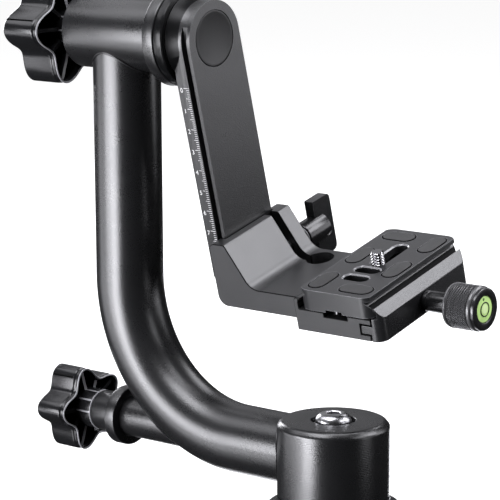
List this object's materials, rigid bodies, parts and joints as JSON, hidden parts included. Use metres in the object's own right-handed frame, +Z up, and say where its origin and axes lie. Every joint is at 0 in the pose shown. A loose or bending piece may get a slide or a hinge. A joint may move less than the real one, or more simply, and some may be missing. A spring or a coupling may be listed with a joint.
{
  "type": "gimbal tripod head",
  "caption": "Gimbal tripod head with a J-shaped panning arm, a hanging swing arm and a sliding quick-release clamp for long lenses.",
  "frame": {"origin": "on the pan axis, at the underside of the base", "axes": "+Z up along the pan axis; +X along the tilt axis, from the tilt lock knob to the clamp; the swing arm leans 14.8 degrees towards +Y"},
  "size_m": [0.2363, 0.1076, 0.2392],
  "materials": {
    "coated_metal": "black powder coat, satin",
    "satin_metal": "dark grey anodised, satin",
    "black_plastic": "black, moulded",
    "bright_steel": "bright plated steel",
    "brass": "turned brass",
    "rubber": "dark grey, matte",
    "bearing_polymer": "pale bearing polymer",
    "level_liquid": "clear lime green"
  },
  "bodies": {
    "tripod_base": {"base_foot": "coated_metal", "tripod_bush": "brass", "pan_washer": "bright_steel", "pan_screw": "bright_steel"},
    "yoke": {"pan_housing": "coated_metal", "j_tube": "coated_metal", "pan_lock_boss": "coated_metal", "pan_lock_ring": "coated_metal", "tilt_housing": "coated_metal", "tilt_collar": "coated_metal", "tilt_bearing_inner": "bearing_polymer", "tilt_bearing_outer": "bearing_polymer"},
    "pan_brake": {"pan_brake_pad": "brass"},
    "pan_lock": {"pan_lock_knob": "black_plastic", "pan_lock_nut": "brass", "pan_lock_rod": "bright_steel"},
    "swing": {"tilt_shaft": "coated_metal", "swing_arm": "coated_metal", "cap_disc": "black_plastic", "hub_screw": "bright_steel"},
    "tilt_washer": {"friction_washer": "bright_steel"},
    "tilt_lock": {"tilt_lock_knob": "black_plastic", "tilt_lock_nut": "brass"},
    "carriage": {"carriage_bracket": "satin_metal"},
    "lock_slider": {"lock_washer": "bright_steel"},
    "carriage_lock": {"lock_handle": "coated_metal", "lock_screw": "bright_steel"},
    "jaw": {"moving_jaw": "satin_metal", "jaw_pin_near": "bright_steel", "jaw_pin_far": "bright_steel"},
    "knob_and_level": {"clamp_screw": "satin_metal", "clamp_knob": "coated_metal", "level_bezel": "black_plastic", "level_vial": "level_liquid"},
    "plate": {"qr_plate": "satin_metal", "pad_1": "rubber", "pad_2": "rubber", "pad_3": "rubber", "pad_4": "rubber", "pad_5": "rubber", "pad_6": "rubber", "plate_stop_near": "bright_steel", "plate_stop_far": "bright_steel"},
    "screw_slider": {"screw_retainer": "bright_steel"},
    "screw_turn": {"camera_screw": "bright_steel"}
  },
  "joints": [
    {"name": "pan", "type": "hinge", "parent": "tripod_base", "child": "yoke", "pos_m": [0, 0, 0.03], "axis": [0, 0, 1], "continuous": true},
    {"name": "pan_brake_slide", "type": "slide", "parent": "yoke", "child": "pan_brake", "axis": [1, 0, 0], "range_m": [-0.00243, 0.00027]},
    {"name": "pan_lock_turn", "type": "hinge", "parent": "pan_brake", "child": "pan_lock", "pos_m": [-0.15, 0, 0.0301], "axis": [1, 0, 0], "range_deg": [-730, 85]},
    {"name": "tilt", "type": "hinge", "parent": "yoke", "child": "swing", "pos_m": [-0.1, 0, 0.2135], "axis": [1, 0, 0], "continuous": true},
    {"name": "tilt_washer_slide", "type": "slide", "parent": "swing", "child": "tilt_washer", "axis": [1, 0, 0], "range_m": [-0.00243, 0.00027]},
    {"name": "tilt_lock_turn", "type": "hinge", "parent": "tilt_washer", "child": "tilt_lock", "pos_m": [-0.165, 0, 0.2135], "axis": [1, 0, 0], "range_deg": [-730, 85]},
    {"name": "carriage_height", "type": "slide", "parent": "swing", "child": "carriage", "axis": [0, -0.2554, 0.9668], "range_m": [-0.003, 0.0727]},
    {"name": "carriage_washer_slide", "type": "slide", "parent": "carriage", "child": "lock_slider", "axis": [0, -0.9668, -0.2554], "range_m": [-0.001, 0.00026]},
    {"name": "carriage_lock_turn", "type": "hinge", "parent": "lock_slider", "child": "carriage_lock", "pos_m": [-0.0603, 0.05662, 0.11665], "axis": [0, -0.9668, -0.2554], "range_deg": [-376, 98]},
    {"name": "jaw_opening", "type": "slide", "parent": "carriage", "child": "jaw", "axis": [1, 0, 0], "range_m": [-0.00025, 0.00449]},
    {"name": "clamp_turn", "type": "hinge", "parent": "jaw", "child": "knob_and_level", "pos_m": [0.045, 0.02984, 0.10057], "axis": [1, 0, 0], "range_deg": [-118, 2060]},
    {"name": "plate_slide", "type": "slide", "parent": "carriage", "child": "plate", "axis": [0, 0.9668, 0.2554], "range_m": [-0.02, 0.02]},
    {"name": "screw_slide", "type": "slide", "parent": "plate", "child": "screw_slider", "axis": [0, 0.9668, 0.2554], "range_m": [0, 0.0167]},
    {"name": "camera_screw_turn", "type": "hinge", "parent": "screw_slider", "child": "screw_turn", "pos_m": [0.0051, 0.02711, 0.11206], "axis": [0, -0.2554, 0.9668], "continuous": true}
  ],
  "couplings": [
    {"joint": "pan_lock_turn", "follows": "pan_brake_slide", "rad_per_m": 5026.6},
    {"joint": "tilt_lock_turn", "follows": "tilt_washer_slide", "rad_per_m": 5026.6},
    {"joint": "carriage_lock_turn", "follows": "carriage_washer_slide", "rad_per_m": 6283.2},
    {"joint": "clamp_turn", "follows": "jaw_opening", "rad_per_m": 7854}
  ]
}
